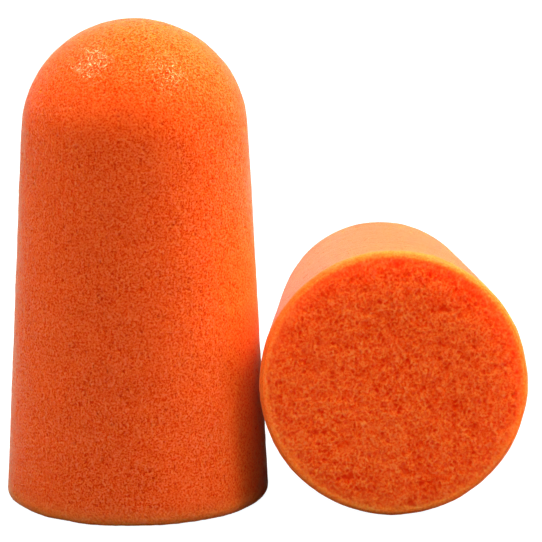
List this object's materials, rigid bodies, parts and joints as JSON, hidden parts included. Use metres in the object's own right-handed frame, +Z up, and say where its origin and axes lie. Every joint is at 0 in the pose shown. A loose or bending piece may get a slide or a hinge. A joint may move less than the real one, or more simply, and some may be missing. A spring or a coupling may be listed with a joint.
{
  "type": "foam ear plugs",
  "caption": "Pair of soft foam ear plugs, each a tapered bullet with a round nose and a flat cut end, one standing and one lying on its side, for blocking noise in the ear.",
  "frame": {"origin": "centre of the standing plug's flat cut end, on the table that both plugs rest on", "axes": "+Z up along the standing plug's axis towards its nose, +X from the standing plug to the lying plug, +Y the way that the lying plug's nose points, seen from above"},
  "size_m": [0.0259, 0.0263, 0.024],
  "materials": {
    "foam": "soft slow-recovery polyurethane foam, bright orange, with a thin satin moulded skin on the side and nose and open cells on the cut end"
  },
  "bodies": {
    "standing_plug": {"standing_plug": "foam"},
    "lying_plug": {"lying_plug": "foam"}
  },
  "joints": [
    {"name": "lying_plug_lift", "type": "slide", "parent": "standing_plug", "child": "lying_plug", "axis": [0, 0, 1], "range_m": [0, 0.03]}
  ]
}
